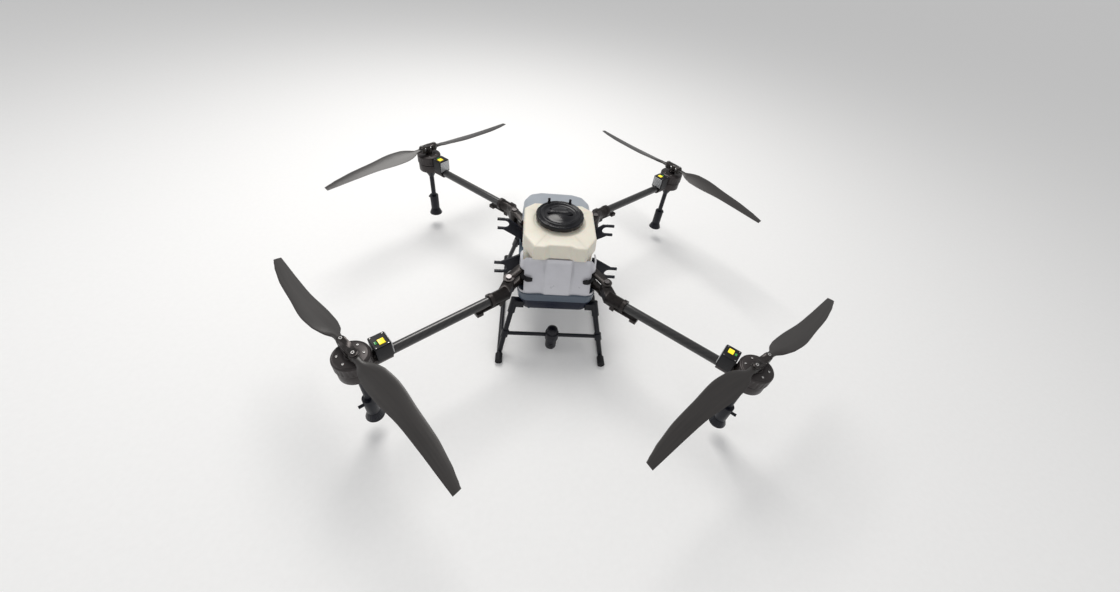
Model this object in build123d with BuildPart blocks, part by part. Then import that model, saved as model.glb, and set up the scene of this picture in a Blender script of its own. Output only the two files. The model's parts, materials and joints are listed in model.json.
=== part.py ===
"""Agricultural spray drone: four folding arms, lift-out tank, slide-in battery, skid landing gear.

Frame: millimetres, Z up, the front faces -Y. The origin is the centre of the four belly bolts on
the underside of the frame tray. Left is -X, as someone standing in front of the drone sees it.
"""
from build123d import *
import os
from math import cos, radians, sin, tan

os.makedirs("parts", exist_ok=True)

# ------------------------------------------------------------------ rotor layout
PROP_RADIUS = 457.2  # 36 inch propeller
MOTOR_X = 541.0
MOTOR_Y = 534.0
BLADE_HEIGHT = 204.0  # middle of the blade roots, above the belly
BLADE_DROOP = 2.2  # degrees
BLADE_GAP = 0.5  # between a blade root and its clamp plates
# Parked heading of each propeller's first blade, degrees from +X
BLADE_HEADINGS = {"front_left": 134.5, "front_right": 35.9, "rear_left": 46.6, "rear_right": 129.3}

# ------------------------------------------------------------------ arms and their hinges
ARM_ANGLE = 38.8  # heading of an arm from the X axis, degrees
ARM_HEIGHT = 126.0
TUBE_RADIUS = 15.0
TUBE_WALL = 1.5
PIVOT_OUT = 26.0  # hinge axis beyond the body's side
PIVOT_BACK = 6.0  # hinge axis behind the body's front
FRONT_RISE = 7.0  # slope of a front arm in its clips, degrees
REAR_RISE = -6.0
PIN_RADIUS = 5.0
RUNNING_FIT = 0.05  # radial clearance of every turning pin
BARREL_RADIUS = 16.0
BARREL_HALF = 19.0
LUG_RADIUS = 18.0
LUG_THICK = 8.0
LUG_GAP = 1.0
SOCKET_WALL = 5.0
SOCKET_START = 30.0  # along the arm, from the hinge
SOCKET_END = 98.0
LEVER_GAP = 7.0  # lock lever's pin below its socket

# ------------------------------------------------------------------ motor, hub and blades
MOTOR_RADIUS = 48.5
MOTOR_TOP = 181.0
BELL_BOTTOM = 145.0
BELL_WALL = 3.0
MOUNT_TOP = 142.0
MOUNT_BOTTOM = 112.0
MOUNT_RADIUS = 46.0
SHAFT_RADIUS = 5.0
BOLT_SPACING = 30.0  # blade pivot to motor axis
BOLT_RADIUS = 4.0
ROOT_RADIUS = 12.5
ROOT_THICK = 16.0
CLAMP_THICK = 4.0
BLADE_CHORD = 68.0
BLADE_THICK = 8.0
TIP_CHORD = 22.0

# ------------------------------------------------------------------ nozzle
STEM_RADIUS = 10.0
STEM_BOTTOM = -25.0
ATOMISER_RADIUS = 19.0
ATOMISER_BOTTOM = -92.0
DISC_RADIUS = 28.0
DISC_BOTTOM = -120.0

# ------------------------------------------------------------------ body
WALL = 3.0
BODY_HALF_WIDTH = 134.0
BODY_FRONT = 196.0  # distance ahead of the belly bolts
BODY_REAR = 246.0
TRAY_HEIGHT = 50.0
TRAY_FLOOR = 4.0
TRAY_INSET = 15.0  # the tray narrows by this towards the belly
TRAY_NOSE = 18.0  # the belly stops this short of the body's ends
DECK_HEIGHT = 83.0
DECK_THICK = 4.0
COWL_TOP = 204.0
COWL_RAKE = 40.0  # the front cowl leans back by this
COWL_BACK = 112.0
REAR_COWL_TOP = 219.0
REAR_COWL_START = 98.0
BELLY_BOLT_X = 120.0
BELLY_BOLT_Y = 160.0
BELLY_BOLT_RADIUS = 2.75

# ------------------------------------------------------------------ tank
TANK_SIDE_GAP = 12.0  # tank's side inside the body's side
TANK_HALF_WIDTH = BODY_HALF_WIDTH - TANK_SIDE_GAP
TANK_INSET = 4.0  # the lower body is this much narrower than the upper one
TANK_FRONT = 160.0
TANK_STEP = 12.0  # the lower body's front stands back, behind the cowl
TANK_REAR = 92.0
TANK_SHOULDER = 206.0
TANK_TOP = 259.0
TANK_ROOF = 7.0
TANK_LIFT_GAP = 0.5
NECK_RADIUS = 70.0
NECK_BORE = 62.0
NECK_TOP = 272.0
CAP_RADIUS = 82.0
CAP_BOTTOM = 262.0
CAP_RIM = 279.0
SEAL_THICK = 2.5
STRAINER_THICK = 1.5

# ------------------------------------------------------------------ battery
BATTERY_WIDTH = 160.0
BATTERY_HEIGHT = 95.0
BATTERY_FRONT = 106.0
BATTERY_REAR = 244.0
BATTERY_GAP = 4.0

# ------------------------------------------------------------------ clips and landing gear
FRONT_CLIP_Y = -80.0
REAR_CLIP_Y = 88.0
CLIP_THICK = 8.0
CLIP_GAP = 0.75  # around a stowed tube
CLIP_ROOT_X = TANK_HALF_WIDTH - 1.0
LEG_RADIUS = 9.0
LEG_TOP = (BODY_HALF_WIDTH + 7.0, 172.0, 28.0)
LEG_BOTTOM = (LEG_TOP[0] + 47.0, 245.0, -172.0)
SKID_RADIUS = 9.0
SKID_HALF_LENGTH = 286.0
SLEEVE_RADIUS = 13.0
SLEEVE_LENGTH = 34.0
CROSSBAR_HEIGHT = -96.0
CROSSBAR_RADIUS = 7.0
CLAMP_RADIUS = 13.0
POD_RADIUS = 20.5
POD_TOP = -60.0
POD_BOTTOM = -165.0

HEADING = radians(ARM_ANGLE)
PIVOT_X = BODY_HALF_WIDTH + PIVOT_OUT
PIVOT_Y = BODY_FRONT - PIVOT_BACK
REACH = (MOTOR_X - PIVOT_X) * cos(HEADING) + (MOTOR_Y - PIVOT_Y) * sin(HEADING)
OFFSET = (MOTOR_Y - PIVOT_Y) * cos(HEADING) - (MOTOR_X - PIVOT_X) * sin(HEADING)
CORNERS = {"front_left": (-1, -1), "front_right": (1, -1), "rear_left": (-1, 1), "rear_right": (1, 1)}


def finish(piece, label):
    """Name a finished piece and write it."""
    piece.label = label
    export_step(piece, f"parts/{label}.step")


def group(pieces, label):
    """Write several separate solids as one node."""
    finish(Compound(children=[solid for piece in pieces for solid in piece.solids()]), label)


def rod(start, end, radius, mode=Mode.ADD):
    """Round rod between two points, in the open part."""
    run = Vector(*end) - Vector(*start)
    with BuildSketch(Plane(origin=start, z_dir=run)) as face:
        Circle(radius)
    extrude(face.sketch, amount=run.length, mode=mode)


def cone(start, end, start_radius, end_radius):
    """Round taper between two points, in the open part."""
    run = Vector(*end) - Vector(*start)
    with BuildSketch(Plane(origin=start, z_dir=run)) as near:
        Circle(start_radius)
    with BuildSketch(Plane(origin=end, z_dir=run)) as far:
        Circle(end_radius)
    loft([near.sketch.faces()[0], far.sketch.faces()[0]])


def block(plane, low, high, mode=Mode.ADD):
    """Box between two corners given in a plane's own axes, in the open part."""
    middle = ((low[0] + high[0]) / 2, (low[1] + high[1]) / 2)
    with BuildSketch(plane.offset(low[2])) as face:
        with Locations(middle):
            Rectangle(high[0] - low[0], high[1] - low[1])
    extrude(face.sketch, amount=high[2] - low[2], mode=mode)


def at(plane, along, across, up):
    """World point of a plane's own coordinates."""
    return tuple(plane.from_local_coords(Vector(along, across, up)))


def arm_plane(sx, sy):
    """Plane on an arm's tube axis at the hinge's foot: X runs outward, Z is up."""
    outward = Vector(sx * cos(HEADING), sy * sin(HEADING), 0)
    motor = Vector(sx * MOTOR_X, sy * MOTOR_Y, ARM_HEIGHT)
    return Plane(origin=motor - outward * REACH, x_dir=outward, z_dir=(0, 0, 1))


def hinge_axis(sx, sy):
    """Leaning hinge axis that lays a folded arm along Y at its own slope."""
    rise = radians(FRONT_RISE if sy < 0 else REAR_RISE)
    lean = Vector(sx * cos(HEADING), sy * (sin(HEADING) + cos(rise)), 0)
    return (lean * (sin(rise) / lean.length**2) + Vector(0, 0, 1)).normalized()


def hinge_plane(sx, sy, towards):
    """Plane square to a hinge axis, on the pivot, with X towards the given heading."""
    axis = hinge_axis(sx, sy)
    flat = towards - axis * towards.dot(axis)
    return Plane(origin=(sx * PIVOT_X, sy * PIVOT_Y, ARM_HEIGHT), x_dir=flat, z_dir=axis)


def body_outline(half_width, front, rear, radius, height):
    """Rounded rectangle from front to rear at one height, as a sketch."""
    with BuildSketch(Plane.XY.offset(height)) as outline:
        with Locations((0, (rear - front) / 2)):
            RectangleRounded(2 * half_width, front + rear, radius)
    return outline.sketch.faces()[0]


def tank_outline(inset, height, step=0.0):
    """Eight-sided tank outline with a shallow recess in the middle of its front."""
    side = TANK_HALF_WIDTH - inset
    front = TANK_FRONT - inset - step
    with BuildSketch(Plane.XY.offset(height)) as outline:
        with BuildLine():
            half = [
                (0, -front + 10),
                (34, -front + 10),
                (50, -front),
                (88 - inset, -front),
                (side, -front + 62 - step / 2),
                (side, TANK_REAR - inset - 34),
                (88 - inset, TANK_REAR - inset),
                (0, TANK_REAR - inset),
            ]
            Polyline(*half)
            Polyline(*[(-x, y) for x, y in half])
        make_face()
    return outline.sketch.faces()[0]


# ================================================================== frame tray and rim
TRAY_HALF = BODY_HALF_WIDTH - 4
LEG_LINES = [
    [(sx * x, sy * y, z) for x, y, z in (LEG_TOP, LEG_BOTTOM)] for sx, sy in CORNERS.values()
]

with BuildPart() as tray:
    loft([
        body_outline(TRAY_HALF - TRAY_INSET, BODY_FRONT - TRAY_NOSE, BODY_REAR - TRAY_NOSE, 28, 0),
        body_outline(TRAY_HALF, BODY_FRONT - 4, BODY_REAR - 4, 34, TRAY_HEIGHT),
    ])
    loft([
        body_outline(
            TRAY_HALF - TRAY_INSET - WALL,
            BODY_FRONT - TRAY_NOSE - WALL,
            BODY_REAR - TRAY_NOSE - WALL,
            25,
            TRAY_FLOOR,
        ),
        body_outline(TRAY_HALF - WALL, BODY_FRONT - 4 - WALL, BODY_REAR - 4 - WALL, 31, TRAY_HEIGHT),
    ], mode=Mode.SUBTRACT)
    with BuildSketch():
        with GridLocations(BELLY_BOLT_X, BELLY_BOLT_Y, 2, 2):
            Circle(BELLY_BOLT_RADIUS)
    extrude(amount=TRAY_FLOOR, mode=Mode.SUBTRACT)
finish(tray.part, "frame_tray")

with BuildPart() as rim:
    loft([
        body_outline(TRAY_HALF, BODY_FRONT - 4, BODY_REAR - 4, 34, TRAY_HEIGHT),
        body_outline(BODY_HALF_WIDTH, BODY_FRONT, BODY_REAR, 38, DECK_HEIGHT),
    ])
    loft([
        body_outline(TRAY_HALF - WALL, BODY_FRONT - 4 - WALL, BODY_REAR - 4 - WALL, 31, TRAY_HEIGHT),
        body_outline(
            BODY_HALF_WIDTH - WALL,
            BODY_FRONT - WALL,
            BODY_REAR - WALL,
            35,
            DECK_HEIGHT - DECK_THICK,
        ),
    ], mode=Mode.SUBTRACT)
finish(rim.part, "frame_rim")

# ================================================================== cowls
NOTCH_LOW = ARM_HEIGHT - 36.0
NOTCH_HIGH = ARM_HEIGHT + 37.0

with BuildPart() as cowl:
    top_half = BODY_HALF_WIDTH - 8
    loft([
        body_outline(BODY_HALF_WIDTH, BODY_FRONT, 0, 38, DECK_HEIGHT),
        body_outline(top_half, BODY_FRONT - COWL_RAKE, 0, 34, COWL_TOP),
    ])
    loft([
        body_outline(BODY_HALF_WIDTH - WALL, BODY_FRONT - WALL, 0, 35, DECK_HEIGHT),
        body_outline(top_half - WALL, BODY_FRONT - COWL_RAKE - WALL, 0, 31, COWL_TOP - WALL),
    ], mode=Mode.SUBTRACT)
    extrude(tank_outline(2, DECK_HEIGHT, TANK_STEP), amount=TANK_TOP, mode=Mode.SUBTRACT)
    block(Plane.XY, (-200, -COWL_BACK, 0), (200, 100, TANK_TOP), mode=Mode.SUBTRACT)
    for sx in (-1, 1):
        near, far = sorted((sx * (BODY_HALF_WIDTH - 22), sx * (BODY_HALF_WIDTH + 66)))
        block(Plane.XY, (near, 4 - PIVOT_Y, NOTCH_LOW), (far, -90, NOTCH_HIGH), mode=Mode.SUBTRACT)

latches = []
for sx in (-1, 1):
    with BuildPart() as latch:
        near, far = sorted((sx * 82, sx * 104))
        block(Plane.XY, (near, -BODY_FRONT, 134), (far, -160, 148))
        add(cowl.part, mode=Mode.SUBTRACT)
    latches.append(max(latch.part.solids(), key=lambda solid: -solid.center().Y))
group([cowl.part] + latches, "front_cowl")

with BuildPart() as rear_cowl:
    top_half = BODY_HALF_WIDTH - 10
    loft([
        body_outline(BODY_HALF_WIDTH, 0, BODY_REAR, 66, DECK_HEIGHT),
        body_outline(top_half, 0, BODY_REAR - 12, 66, REAR_COWL_TOP),
    ])
    loft([
        body_outline(BODY_HALF_WIDTH - WALL, 0, BODY_REAR - WALL, 63, DECK_HEIGHT),
        body_outline(top_half - WALL, 0, BODY_REAR - 12 - WALL, 63, REAR_COWL_TOP - WALL),
    ], mode=Mode.SUBTRACT)
    block(Plane.XY, (-200, -100, 0), (200, REAR_COWL_START, TANK_TOP), mode=Mode.SUBTRACT)
    for sx in (-1, 1):
        near, far = sorted((sx * (BODY_HALF_WIDTH - 22), sx * (BODY_HALF_WIDTH + 66)))
        block(Plane.XY, (near, 90, NOTCH_LOW), (far, PIVOT_Y - 4, NOTCH_HIGH), mode=Mode.SUBTRACT)
    bay = BATTERY_WIDTH / 2 + BATTERY_GAP
    block(Plane.XY, (-bay, 180, DECK_HEIGHT), (bay, 300, DECK_HEIGHT + BATTERY_HEIGHT + 2 * BATTERY_GAP),
          mode=Mode.SUBTRACT)
finish(rear_cowl.part, "rear_cowl")

# ================================================================== battery
with BuildPart() as battery:
    base = DECK_HEIGHT + 0.5
    block(Plane.XY, (-BATTERY_WIDTH / 2, BATTERY_FRONT, base),
          (BATTERY_WIDTH / 2, BATTERY_REAR, base + BATTERY_HEIGHT))
    chamfer(battery.edges().filter_by(Axis.Y), 6)
    grip_z = base + BATTERY_HEIGHT / 2
    for sx in (-1, 1):
        near, far = sorted((sx * 40, sx * 50))
        block(Plane.XY, (near, BATTERY_REAR, grip_z - 5), (far, BATTERY_REAR + 22, grip_z + 5))
    block(Plane.XY, (-50, BATTERY_REAR + 14, grip_z - 6), (50, BATTERY_REAR + 26, grip_z + 6))
finish(battery.part, "battery")

# ================================================================== tank, cap, seal and strainer
TANK_BOTTOM = DECK_HEIGHT + TANK_LIFT_GAP

with BuildPart() as tank:
    extrude(tank_outline(TANK_INSET, TANK_BOTTOM, TANK_STEP), amount=TANK_SHOULDER - TANK_BOTTOM)
    extrude(tank_outline(0, TANK_SHOULDER), amount=TANK_TOP - TANK_SHOULDER)
    fillet(tank.faces().sort_by(Axis.Z)[-1].edges(), 4)
    cone((0, 0, TANK_TOP - TANK_ROOF), (0, 0, TANK_TOP), 85, 85)
    with BuildSketch(Plane.XY.offset(TANK_TOP)):
        Circle(86)
    extrude(amount=-3, mode=Mode.SUBTRACT)
    with BuildSketch(Plane.XY.offset(TANK_TOP - TANK_ROOF)):
        Circle(NECK_RADIUS)
    extrude(amount=NECK_TOP - TANK_TOP + TANK_ROOF)
    extrude(tank_outline(TANK_INSET + WALL, TANK_BOTTOM + WALL, TANK_STEP), amount=TANK_SHOULDER - TANK_BOTTOM,
            mode=Mode.SUBTRACT)
    extrude(tank_outline(WALL, TANK_SHOULDER + WALL), amount=TANK_TOP - TANK_ROOF - TANK_SHOULDER - WALL,
            mode=Mode.SUBTRACT)
    rod((0, 0, TANK_SHOULDER), (0, 0, NECK_TOP + 1), NECK_BORE, mode=Mode.SUBTRACT)
finish(tank.part, "tank_shell")

with BuildPart() as strainer:
    rod((0, 0, NECK_TOP), (0, 0, NECK_TOP + STRAINER_THICK), NECK_BORE + 4)
    rod((0, 0, NECK_TOP - 60), (0, 0, NECK_TOP), NECK_BORE - 4)
    rod((0, 0, NECK_TOP - 60 + STRAINER_THICK), (0, 0, NECK_TOP + 10), NECK_BORE - 4 - STRAINER_THICK,
        mode=Mode.SUBTRACT)
    with BuildSketch(Plane.XY.offset(NECK_TOP - 60)):
        with PolarLocations(40, 12):
            Circle(6)
        with PolarLocations(20, 6):
            Circle(6)
    extrude(amount=STRAINER_THICK, mode=Mode.SUBTRACT)
finish(strainer.part, "strainer")

SEAL_BOTTOM = NECK_TOP + STRAINER_THICK

with BuildPart() as seal:
    rod((0, 0, SEAL_BOTTOM), (0, 0, SEAL_BOTTOM + SEAL_THICK), NECK_RADIUS + 1)
    rod((0, 0, SEAL_BOTTOM), (0, 0, SEAL_BOTTOM + SEAL_THICK), NECK_BORE, mode=Mode.SUBTRACT)
finish(seal.part, "cap_seal")

with BuildPart() as cap:
    rod((0, 0, CAP_BOTTOM), (0, 0, CAP_RIM), CAP_RADIUS)
    rod((0, 0, CAP_RIM), (0, 0, CAP_RIM + 3), CAP_RADIUS - 8)
    rod((0, 0, CAP_RIM + 3), (0, 0, CAP_RIM + 6), 46)
    block(Plane.XY, (-42, -9, CAP_RIM + 6), (42, 9, CAP_RIM + 15))
    fillet(cap.faces().sort_by(Axis.Z)[-1].edges(), 4)
    for heading in (62, 118):
        x, y = (CAP_RADIUS - 4) * cos(radians(heading)), (CAP_RADIUS - 4) * sin(radians(heading))
        rod((x, y, CAP_RIM), (x, y, CAP_RIM + 14), 3)
    with BuildSketch(Plane.XY.offset(CAP_BOTTOM)):
        with PolarLocations(CAP_RADIUS + 2, 12):
            Circle(5)
    extrude(amount=CAP_RIM - CAP_BOTTOM, mode=Mode.SUBTRACT)
    rod((0, 0, CAP_BOTTOM), (0, 0, SEAL_BOTTOM + SEAL_THICK), NECK_RADIUS + 1, mode=Mode.SUBTRACT)
finish(cap.part, "tank_cap")

# ================================================================== hinge brackets, pins and clips
LUG_LOW = BARREL_HALF + LUG_GAP
LUG_HIGH = LUG_LOW + LUG_THICK
POST_X = BODY_HALF_WIDTH - 16.0
POST_Y = PIVOT_Y - 55.0
POST_HALF = (8.0, 15.0)

brackets = []
pins = []
for sx, sy in CORNERS.values():
    inward = Vector(sx * (POST_X - PIVOT_X), sy * (POST_Y - PIVOT_Y), 0)
    seat = hinge_plane(sx, sy, inward)
    with BuildPart() as bracket:
        for low in (-LUG_HIGH, LUG_LOW):
            with BuildSketch(seat.offset(low)):
                Circle(LUG_RADIUS)
                with Locations((inward.length / 2, 0)):
                    Rectangle(inward.length, 2 * LUG_RADIUS - 6)
            extrude(amount=LUG_THICK)
        low = [sx * POST_X - POST_HALF[0], sy * POST_Y - POST_HALF[1], DECK_HEIGHT]
        high = [sx * POST_X + POST_HALF[0], sy * POST_Y + POST_HALF[1], ARM_HEIGHT + LUG_HIGH + 6]
        block(Plane.XY, low, high)
        rod(at(seat, 0, 0, -50), at(seat, 0, 0, 50), PIN_RADIUS, mode=Mode.SUBTRACT)
    brackets.append(bracket.part)
    with BuildPart() as pin:
        rod(at(seat, 0, 0, -LUG_HIGH), at(seat, 0, 0, LUG_HIGH), PIN_RADIUS)
        rod(at(seat, 0, 0, LUG_HIGH), at(seat, 0, 0, LUG_HIGH + 5), PIN_RADIUS + 4)
        rod(at(seat, 0, 0, -LUG_HIGH - 5), at(seat, 0, 0, -LUG_HIGH), PIN_RADIUS + 4)
    pins.append(pin.part)
group(brackets, "hinge_brackets")
group(pins, "hinge_pins")

clips = []
for sx in (-1, 1):
    for station, rise in ((FRONT_CLIP_Y, REAR_RISE), (REAR_CLIP_Y, FRONT_RISE)):
        mouth_x = PIVOT_X + OFFSET
        mouth_z = ARM_HEIGHT + (PIVOT_Y + abs(station)) * tan(radians(rise))
        mouth = TUBE_RADIUS + CLIP_GAP
        face = Plane(origin=(0, station + CLIP_THICK / 2, 0), x_dir=(1, 0, 0), z_dir=(0, -1, 0))
        root = 118.0 if rise > 0 else 138.0
        with BuildPart() as clip:
            with BuildSketch(face):
                with Locations((sx * (CLIP_ROOT_X + 4), root)):
                    Rectangle(8, 44)
                with Locations((sx * (mouth_x - 4), mouth_z)):
                    Rectangle(22, 2 * mouth + 14)
                make_hull()
                for side in (-1, 1):
                    with Locations((sx * (mouth_x + 13), mouth_z + side * (mouth + 4))):
                        Rectangle(28, 8)
                with Locations((sx * (CLIP_ROOT_X + 4), (DECK_HEIGHT + root) / 2)):
                    Rectangle(8, root - DECK_HEIGHT)
                with Locations((sx * mouth_x, mouth_z)):
                    Circle(mouth, mode=Mode.SUBTRACT)
                with Locations((sx * (mouth_x + 20), mouth_z)):
                    Rectangle(40, 2 * mouth, mode=Mode.SUBTRACT)
            extrude(amount=CLIP_THICK)
        clips.append(clip.part)
group(clips, "arm_clips")

# ================================================================== landing gear, sleeves, radar pod
def leg_point(sx, sy, height):
    """Point on a leg's axis at one height."""
    share = (LEG_TOP[2] - height) / (LEG_TOP[2] - LEG_BOTTOM[2])
    x = LEG_TOP[0] + share * (LEG_BOTTOM[0] - LEG_TOP[0])
    y = LEG_TOP[1] + share * (LEG_BOTTOM[1] - LEG_TOP[1])
    return (sx * x, sy * y, height)


gear = []
sleeves = []
for sx in (-1, 1):
    ends = [(sx * LEG_BOTTOM[0], end * SKID_HALF_LENGTH, LEG_BOTTOM[2]) for end in (-1, 1)]
    with BuildPart() as skid:
        rod(*ends, SKID_RADIUS)
    gear.append(skid.part)
    for sy in (-1, 1):
        with BuildPart() as leg:
            rod(leg_point(sx, sy, LEG_TOP[2]), leg_point(sx, sy, LEG_BOTTOM[2]), LEG_RADIUS)
            rod(*ends, SKID_RADIUS, mode=Mode.SUBTRACT)
        gear.append(max(leg.part.solids(), key=lambda solid: solid.volume))
        with BuildPart() as socket:
            rod(leg_point(sx, sy, -14), leg_point(sx, sy, LEG_TOP[2] + 8), LEG_RADIUS + 4)
            near, far = sorted((sx * (TRAY_HALF - 22), sx * LEG_TOP[0]))
            block(Plane.XY, (near, sy * LEG_TOP[1] - 12, 6), (far, sy * LEG_TOP[1] + 12, 34))
            rod(leg_point(sx, sy, -30), leg_point(sx, sy, LEG_TOP[2]), LEG_RADIUS, mode=Mode.SUBTRACT)
            loft([
                body_outline(TRAY_HALF - TRAY_INSET, BODY_FRONT - TRAY_NOSE, BODY_REAR - TRAY_NOSE, 28, 0),
                body_outline(TRAY_HALF, BODY_FRONT - 4, BODY_REAR - 4, 34, TRAY_HEIGHT),
            ], mode=Mode.SUBTRACT)
        gear.append(max(socket.part.solids(), key=lambda solid: solid.volume))
        with BuildPart() as sleeve:
            inner = (sx * LEG_BOTTOM[0], sy * (SKID_HALF_LENGTH + 4 - SLEEVE_LENGTH), LEG_BOTTOM[2])
            outer = (sx * LEG_BOTTOM[0], sy * (SKID_HALF_LENGTH + 4), LEG_BOTTOM[2])
            rod(inner, outer, SLEEVE_RADIUS)
            rod(*ends, SKID_RADIUS, mode=Mode.SUBTRACT)
        sleeves.append(sleeve.part)

bar_y = leg_point(1, -1, CROSSBAR_HEIGHT)[1]
bar_x = leg_point(1, -1, CROSSBAR_HEIGHT)[0]
bar_reach = bar_x - LEG_RADIUS - 1
bar_ends = [(-bar_reach, bar_y, CROSSBAR_HEIGHT), (bar_reach, bar_y, CROSSBAR_HEIGHT)]
with BuildPart() as crossbar:
    rod(*bar_ends, CROSSBAR_RADIUS)
gear.append(crossbar.part)
for sx in (-1, 1):
    with BuildPart() as collar:
        rod(leg_point(sx, -1, CROSSBAR_HEIGHT - 12), leg_point(sx, -1, CROSSBAR_HEIGHT + 12), CLAMP_RADIUS)
        below = leg_point(sx, -1, CROSSBAR_HEIGHT - 30)
        above = leg_point(sx, -1, CROSSBAR_HEIGHT + 30)
        rod(below, above, LEG_RADIUS, mode=Mode.SUBTRACT)
        rod(*bar_ends, CROSSBAR_RADIUS, mode=Mode.SUBTRACT)
    gear.append(collar.part)
group(gear, "landing_gear")
group(sleeves, "foot_sleeves")

with BuildPart() as pod:
    rod((0, bar_y, POD_BOTTOM), (0, bar_y, POD_TOP), POD_RADIUS)
    rod((0, bar_y, CROSSBAR_HEIGHT - 16), (0, bar_y, CROSSBAR_HEIGHT + 24), POD_RADIUS + 4)
    fillet(pod.edges().filter_by(GeomType.CIRCLE).group_by(Axis.Z)[0], 8)
    rod(*bar_ends, CROSSBAR_RADIUS, mode=Mode.SUBTRACT)
finish(pod.part, "radar_pod")

# ================================================================== pump and flow meter
with BuildPart() as pump:
    block(Plane.XY, (-30, -100, TRAY_FLOOR), (30, -30, TRAY_FLOOR + 40))
    rod((0, -30, TRAY_FLOOR + 20), (0, 30, TRAY_FLOOR + 20), 18)
with BuildPart() as meter:
    rod((-88, -130, -34), (-88, -130, 0), 11)
    rod((-88, -130, -48), (-88, -130, -34), 6)
group([pump.part, meter.part], "pump")


# ================================================================== arms
def build_arm(corner, sx, sy):
    """All the pieces of one arm, as separate nodes."""
    arm = arm_plane(sx, sy)
    side = -sx * sy
    axis_x = Vector(sx * cos(HEADING), sy * sin(HEADING), 0)
    seat = hinge_plane(sx, sy, axis_x)
    motor = Plane(origin=(sx * MOTOR_X, sy * MOTOR_Y, 0), x_dir=axis_x, z_dir=(0, 0, 1))
    tube_start, tube_end = 45.0, REACH - 42.5
    clamp_start, clamp_end = REACH - 94.0, REACH - 32.0
    clamp_radius = TUBE_RADIUS + 6.0
    lever_drop = -(TUBE_RADIUS + SOCKET_WALL + LEVER_GAP)

    with BuildPart() as tube:
        rod(at(arm, tube_start, 0, 0), at(arm, tube_end, 0, 0), TUBE_RADIUS)
        rod(
            at(arm, tube_start, 0, 0),
            at(arm, tube_end, 0, 0),
            TUBE_RADIUS - TUBE_WALL,
            mode=Mode.SUBTRACT,
        )
    finish(tube.part, f"{corner}_arm_tube")

    with BuildPart() as knuckle:
        with BuildSketch(seat.offset(-BARREL_HALF + 3)):
            Circle(BARREL_RADIUS)
            with Locations((SOCKET_START + 10, -side * OFFSET)):
                Rectangle(24, 2 * TUBE_RADIUS)
            make_hull()
        extrude(amount=2 * BARREL_HALF - 6)
        rod(at(seat, 0, 0, -BARREL_HALF), at(seat, 0, 0, BARREL_HALF), BARREL_RADIUS)
        rod(at(arm, SOCKET_START, 0, 0), at(arm, SOCKET_END, 0, 0), TUBE_RADIUS + SOCKET_WALL)
        rod(at(arm, SOCKET_END - 12, 0, 0), at(arm, SOCKET_END, 0, 0), TUBE_RADIUS + SOCKET_WALL + 2)
        for across in (-15, 9):
            block(arm, (50, across, lever_drop - 6), (66, across + 6, lever_drop + 15))
        rod(
            at(arm, 58, -20, lever_drop),
            at(arm, 58, 20, lever_drop),
            3 + RUNNING_FIT,
            mode=Mode.SUBTRACT,
        )
        rod(at(arm, tube_start, 0, 0), at(arm, tube_end, 0, 0), TUBE_RADIUS, mode=Mode.SUBTRACT)
        rod(at(seat, 0, 0, -50), at(seat, 0, 0, 50), PIN_RADIUS + RUNNING_FIT, mode=Mode.SUBTRACT)
    finish(knuckle.part, f"{corner}_arm_knuckle")

    with BuildPart() as lever:
        rod(at(arm, 58, -8.5, lever_drop), at(arm, 58, 8.5, lever_drop), 5)
        rod(at(arm, 58, -15, lever_drop), at(arm, 58, 15, lever_drop), 3)
        block(arm, (58, -8.5, lever_drop - 4), (142, 8.5, lever_drop + 2))
        block(arm, (126, -12, lever_drop - 11), (148, 12, lever_drop + 2))
    finish(lever.part, f"{corner}_lock_lever")

    with BuildPart() as mount:
        rod(at(motor, 0, 0, MOUNT_BOTTOM), at(motor, 0, 0, MOUNT_TOP), MOUNT_RADIUS)
        rod(at(arm, clamp_start, 0, 0), at(arm, clamp_end, 0, 0), clamp_radius)
        rod(at(motor, 0, 0, MOUNT_TOP), at(motor, 0, 0, MOTOR_TOP), MOTOR_RADIUS + 1, mode=Mode.SUBTRACT)
        rod(at(motor, 0, 0, MOUNT_TOP), at(motor, 0, 0, MOTOR_TOP - 8), MOTOR_RADIUS - BELL_WALL - 3)
        rod(at(arm, tube_start, 0, 0), at(arm, tube_end, 0, 0), TUBE_RADIUS, mode=Mode.SUBTRACT)
        rod(
            at(motor, 0, 0, MOUNT_TOP - 6),
            at(motor, 0, 0, MOTOR_TOP),
            SHAFT_RADIUS + RUNNING_FIT,
            mode=Mode.SUBTRACT,
        )
    finish(mount.part, f"{corner}_motor_mount")

    with BuildPart() as controller:
        block(arm, (REACH - 97, -25, 6), (REACH - 52, 25, 54))
        fillet(controller.edges().filter_by(Axis.Z), 4)
        rod(at(arm, clamp_start - 10, 0, 0), at(arm, clamp_end, 0, 0), clamp_radius, mode=Mode.SUBTRACT)
    finish(controller.part, f"{corner}_speed_controller")

    with BuildPart() as nozzle:
        cone(at(motor, 0, 0, MOUNT_BOTTOM - 40), at(motor, 0, 0, MOUNT_BOTTOM), STEM_RADIUS, 30)
        rod(at(motor, 0, 0, STEM_BOTTOM), at(motor, 0, 0, MOUNT_BOTTOM - 40), STEM_RADIUS)
        rod(at(motor, 0, 0, ATOMISER_BOTTOM), at(motor, 0, 0, STEM_BOTTOM), ATOMISER_RADIUS)
        rod(at(motor, 0, 0, STEM_BOTTOM - 22), at(motor, 34, 0, STEM_BOTTOM - 22), 5)
        rod(at(motor, 0, 0, ATOMISER_BOTTOM - 20), at(motor, 0, 0, ATOMISER_BOTTOM), 4)
    finish(nozzle.part, f"{corner}_nozzle")

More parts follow.
